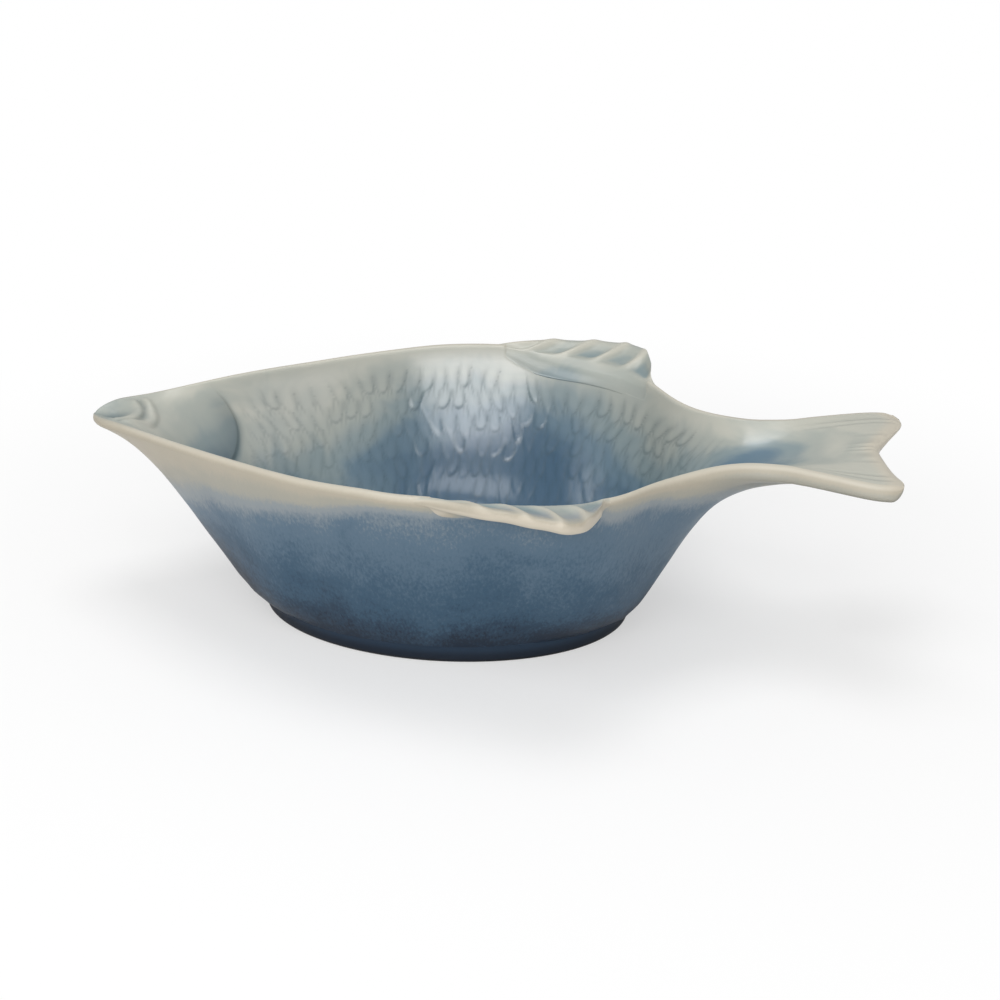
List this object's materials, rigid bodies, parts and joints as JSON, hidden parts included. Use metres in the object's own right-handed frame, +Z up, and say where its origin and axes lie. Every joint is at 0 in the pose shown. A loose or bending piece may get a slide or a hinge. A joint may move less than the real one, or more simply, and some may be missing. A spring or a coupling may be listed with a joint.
{
  "type": "fish-shaped serving bowl",
  "caption": "Deep serving bowl shaped like a fish lying on its side, with side fins, a forked tail to hold it by and an oval foot ring, in blue and grey glazed stoneware.",
  "frame": {"origin": "on the table, under the middle of the overall length and width", "axes": "+X from the mouth to the tail, +Y to the back fin, +Z up"},
  "size_m": [0.29, 0.1774, 0.0753],
  "materials": {
    "reactive_glaze": "glossy reactive glaze, cream on the rim and edges, grey-green to deep blue where it pools",
    "foot_clay": "dark glaze run thin over the foot, bare clay underneath"
  },
  "bodies": {
    "root": {"mouth_lip": "reactive_glaze", "head": "reactive_glaze", "bowl": "reactive_glaze", "dorsal_fin": "reactive_glaze", "ventral_fin": "reactive_glaze", "tail_stalk": "reactive_glaze", "tail_fin": "reactive_glaze", "foot_ring": "foot_clay"}
  },
  "joints": []
}
